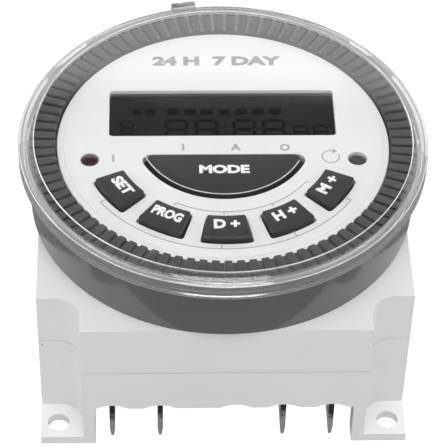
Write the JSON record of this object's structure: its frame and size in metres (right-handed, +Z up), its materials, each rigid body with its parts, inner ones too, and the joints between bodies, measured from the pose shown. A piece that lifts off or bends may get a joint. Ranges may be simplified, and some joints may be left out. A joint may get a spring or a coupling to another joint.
{
  "type": "programmable timer",
  "caption": "Round digital time switch with a clear cap, dark display and gray keys, on a square white base with corner feet and push-on tabs underneath.",
  "frame": {"origin": "centre of the four fixing holes, on the plane that the feet stand on", "axes": "+Z up the dial's axis, -Y towards the side with the tabs and the lower edge of the dial, +X to the right as the dial is read"},
  "size_m": [0.06, 0.0606, 0.037],
  "materials": {
    "white_housing": "fine matt moulded, slightly waxy",
    "gray_bezel": "satin moulded",
    "dial_white": "satin with grey print",
    "clear_cover": "clear polished, slightly scuffed",
    "tinted_lens": "tinted gloss",
    "lcd_glass": "dark display glass",
    "lcd_frame": "matt",
    "conductive_rubber": "striped elastomer",
    "key_gray": "satin with white print",
    "reset_gray": "satin",
    "led_red": "tinted clear, unlit",
    "silicone": "matt translucent",
    "board_green": "solder mask",
    "chip_black": "matt epoxy",
    "plated_steel": "zinc plated",
    "nickel_plate": "nickel plated, bright",
    "pin_brass": "tinned brass pins",
    "film_red": "epoxy coated",
    "sleeve_black": "shrink sleeve",
    "disc_blue": "epoxy dipped",
    "resistor_body": "lacquered",
    "relay_blue": "moulded",
    "coil_copper": "enamelled wire on a bobbin"
  },
  "bodies": {
    "base": {"lower_shell": "white_housing", "upper_shell": "white_housing", "bezel": "gray_bezel", "face_plate": "dial_white", "display_window": "tinted_lens", "lcd_panel": "lcd_glass", "lcd_frame": "lcd_frame", "zebra_strips": "conductive_rubber", "status_led": "led_red", "keypad_mat": "silicone", "control_board": "board_green", "control_chip": "chip_black", "quartz_crystal": "plated_steel", "backup_battery": "plated_steel", "board_screws": "plated_steel", "board_link": "pin_brass", "case_screws": "plated_steel", "bezel_screws": "plated_steel", "power_board": "board_green", "dropper_capacitor": "film_red", "smoothing_capacitor": "sleeve_black", "varistor": "disc_blue", "dropper_resistor": "resistor_body", "rectifier_diodes": "chip_black", "relay_case": "relay_blue", "relay_base": "relay_blue", "relay_yoke": "plated_steel", "relay_coil": "coil_copper", "terminal_blade_1": "nickel_plate", "terminal_blade_2": "nickel_plate", "terminal_blade_3": "nickel_plate", "terminal_blade_4": "nickel_plate"},
    "cover": {"clear_cover": "clear_cover"},
    "manual_key": {"manual_key": "key_gray"},
    "clock_key": {"clock_key": "key_gray"},
    "timer_key": {"timer_key": "key_gray"},
    "day_key": {"day_key": "key_gray"},
    "hour_key": {"hour_key": "key_gray"},
    "minute_key": {"minute_key": "key_gray"},
    "reset_key": {"reset_key": "reset_gray"},
    "armature": {"relay_armature": "plated_steel"}
  },
  "joints": [
    {"name": "cover_lift", "type": "slide", "parent": "base", "child": "cover", "axis": [0, 0, 1], "range_m": [0, 0.015]},
    {"name": "mode_press", "type": "slide", "parent": "base", "child": "manual_key", "axis": [0, 0, -1], "range_m": [0, 0.0005], "stiffness_N_per_m": 800, "deforming": ["keypad_mat"]},
    {"name": "clock_press", "type": "slide", "parent": "base", "child": "clock_key", "axis": [0, 0, -1], "range_m": [0, 0.0005], "stiffness_N_per_m": 800, "deforming": ["keypad_mat"]},
    {"name": "timer_press", "type": "slide", "parent": "base", "child": "timer_key", "axis": [0, 0, -1], "range_m": [0, 0.0005], "stiffness_N_per_m": 800, "deforming": ["keypad_mat"]},
    {"name": "day_press", "type": "slide", "parent": "base", "child": "day_key", "axis": [0, 0, -1], "range_m": [0, 0.0005], "stiffness_N_per_m": 800, "deforming": ["keypad_mat"]},
    {"name": "hour_press", "type": "slide", "parent": "base", "child": "hour_key", "axis": [0, 0, -1], "range_m": [0, 0.0005], "stiffness_N_per_m": 800, "deforming": ["keypad_mat"]},
    {"name": "minute_press", "type": "slide", "parent": "base", "child": "minute_key", "axis": [0, 0, -1], "range_m": [0, 0.0005], "stiffness_N_per_m": 800, "deforming": ["keypad_mat"]},
    {"name": "reset_press", "type": "slide", "parent": "base", "child": "reset_key", "axis": [0, 0, -1], "range_m": [0, 0.0005], "stiffness_N_per_m": 800, "deforming": ["keypad_mat"]},
    {"name": "armature_pull", "type": "hinge", "parent": "base", "child": "armature", "pos_m": [-0.0138, 0.005, 0.02465], "axis": [0, 1, 0], "range_deg": [0, 3], "stiffness_Nm_per_rad": 0.02, "springref_deg": -1.15}
  ]
}
